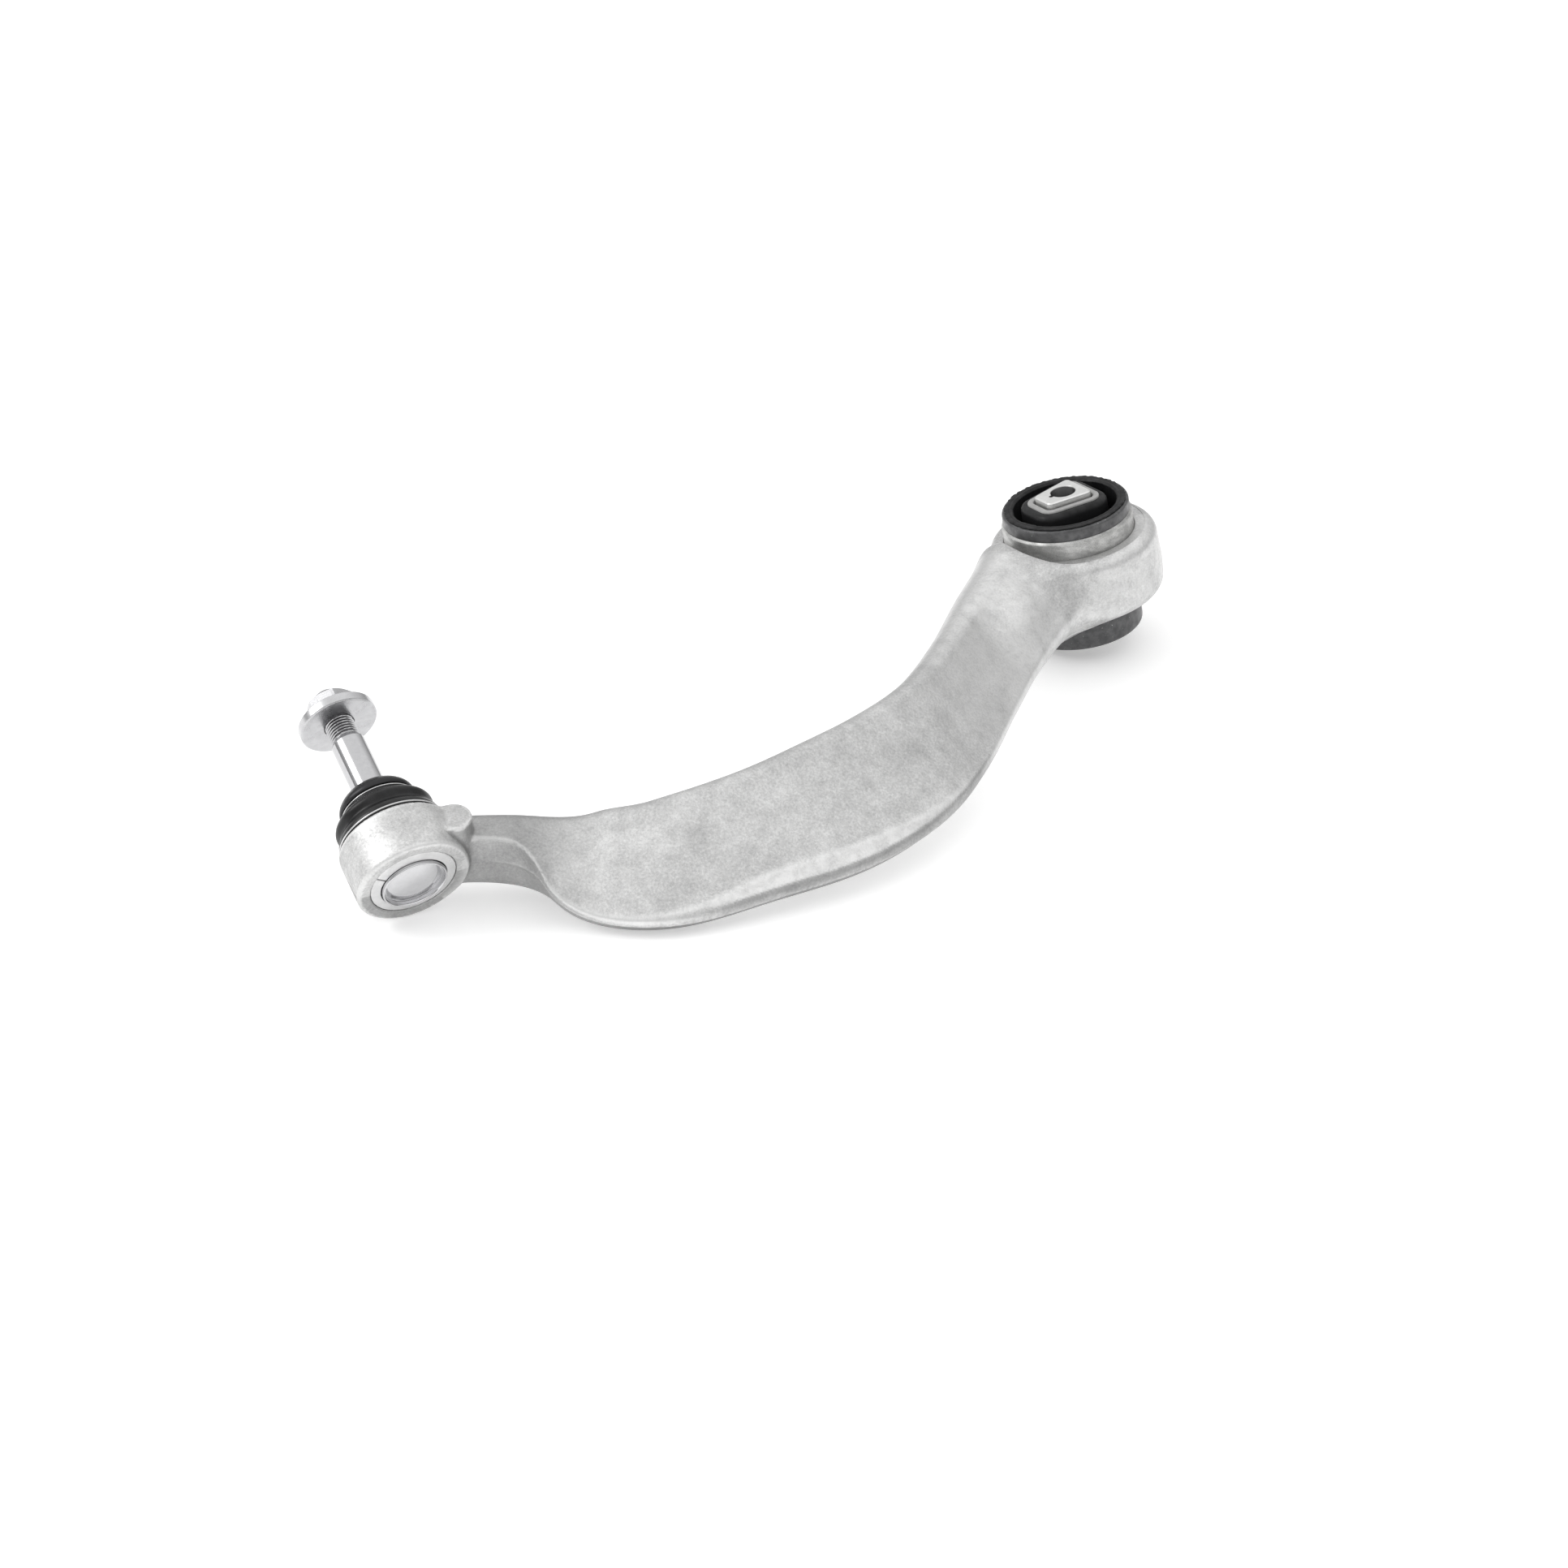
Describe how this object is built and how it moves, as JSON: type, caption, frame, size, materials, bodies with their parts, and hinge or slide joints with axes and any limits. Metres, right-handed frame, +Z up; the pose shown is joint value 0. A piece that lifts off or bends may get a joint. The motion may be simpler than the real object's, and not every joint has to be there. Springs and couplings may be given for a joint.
{
  "type": "control arm",
  "caption": "Forged aluminium control arm with a bent dished strap, a sealed ball joint with threaded stud and washer nut, and a fluid-filled rubber bush round a metal core.",
  "frame": {"origin": "middle of the bush's bore, on its axis", "axes": "+Z up as the arm lies on a floor, +X from the ball joint's end towards the bush's end, +Y towards the side the stud and the strap's bush end run to"},
  "size_m": [0.4167, 0.3489, 0.0855],
  "materials": {
    "forged_arm": "satin, shot blasted",
    "sleeve": "grainy satin",
    "dark_collar": "satin, thin dark coating with small bright nicks",
    "rubber": "satin, moulded",
    "core": "extruded, bright chamfer",
    "stop_ring": "matte, light grey",
    "inner_plastic": "matte",
    "inner_steel": "turned",
    "polished_steel": "polished",
    "ring_steel": "satin",
    "boot_rubber": "glossy, moulded",
    "seal_dark": "satin",
    "zinc": "bright zinc plated"
  },
  "bodies": {
    "arm": {"arm_forging": "forged_arm", "bush_sleeve": "sleeve", "top_collar": "dark_collar", "bottom_collar": "dark_collar", "rubber_lining": "rubber", "rubber_block": "rubber", "channel_shell_front": "inner_plastic", "channel_shell_back": "inner_plastic", "cage_ring_upper": "inner_steel", "cage_ring_lower": "inner_steel", "ball_race": "inner_plastic", "closing_cap": "polished_steel", "retaining_ring": "ring_steel", "boot_lower_ring": "ring_steel"},
    "boot": {"boot": "boot_rubber"},
    "seal": {"boot_upper_ring": "ring_steel", "seal_collar": "seal_dark"},
    "stud": {"ball_stud": "polished_steel"},
    "washer": {"nut_washer": "zinc"},
    "nut": {"collar_nut": "zinc"},
    "core": {"inner_core": "core", "stop_ring_top": "stop_ring", "stop_ring_bottom": "stop_ring"}
  },
  "joints": [
    {"name": "stud_lean_direction", "type": "hinge", "parent": "arm", "child": "boot", "pos_m": [-0.32, -0.278, -0.012], "axis": [-0.4188, 0.8079, 0.4147], "continuous": true},
    {"name": "stud_tilt", "type": "hinge", "parent": "boot", "child": "seal", "pos_m": [-0.32, -0.278, -0.012], "axis": [0.8878, 0.4602, 0], "range_deg": [-25, 25], "deforming": ["boot"]},
    {"name": "stud_spin", "type": "hinge", "parent": "seal", "child": "stud", "pos_m": [-0.32, -0.278, -0.012], "axis": [-0.4188, 0.8079, 0.4147], "continuous": true},
    {"name": "washer_travel", "type": "slide", "parent": "stud", "child": "washer", "axis": [-0.4188, 0.8079, 0.4147], "range_m": [-0.009, 0.007]},
    {"name": "nut_turn", "type": "hinge", "parent": "washer", "child": "nut", "pos_m": [-0.32, -0.278, -0.012], "axis": [-0.4188, 0.8079, 0.4147], "range_deg": [-2161, 1681]},
    {"name": "bush_twist", "type": "hinge", "parent": "arm", "child": "core", "pos_m": [0, 0, 0], "axis": [-0.1736, 0, 0.9848], "range_deg": [-15, 15], "stiffness_Nm_per_rad": 60, "deforming": ["rubber_block"]}
  ],
  "couplings": [
    {"joint": "nut_turn", "follows": "washer_travel", "rad_per_m": 4188.8}
  ]
}
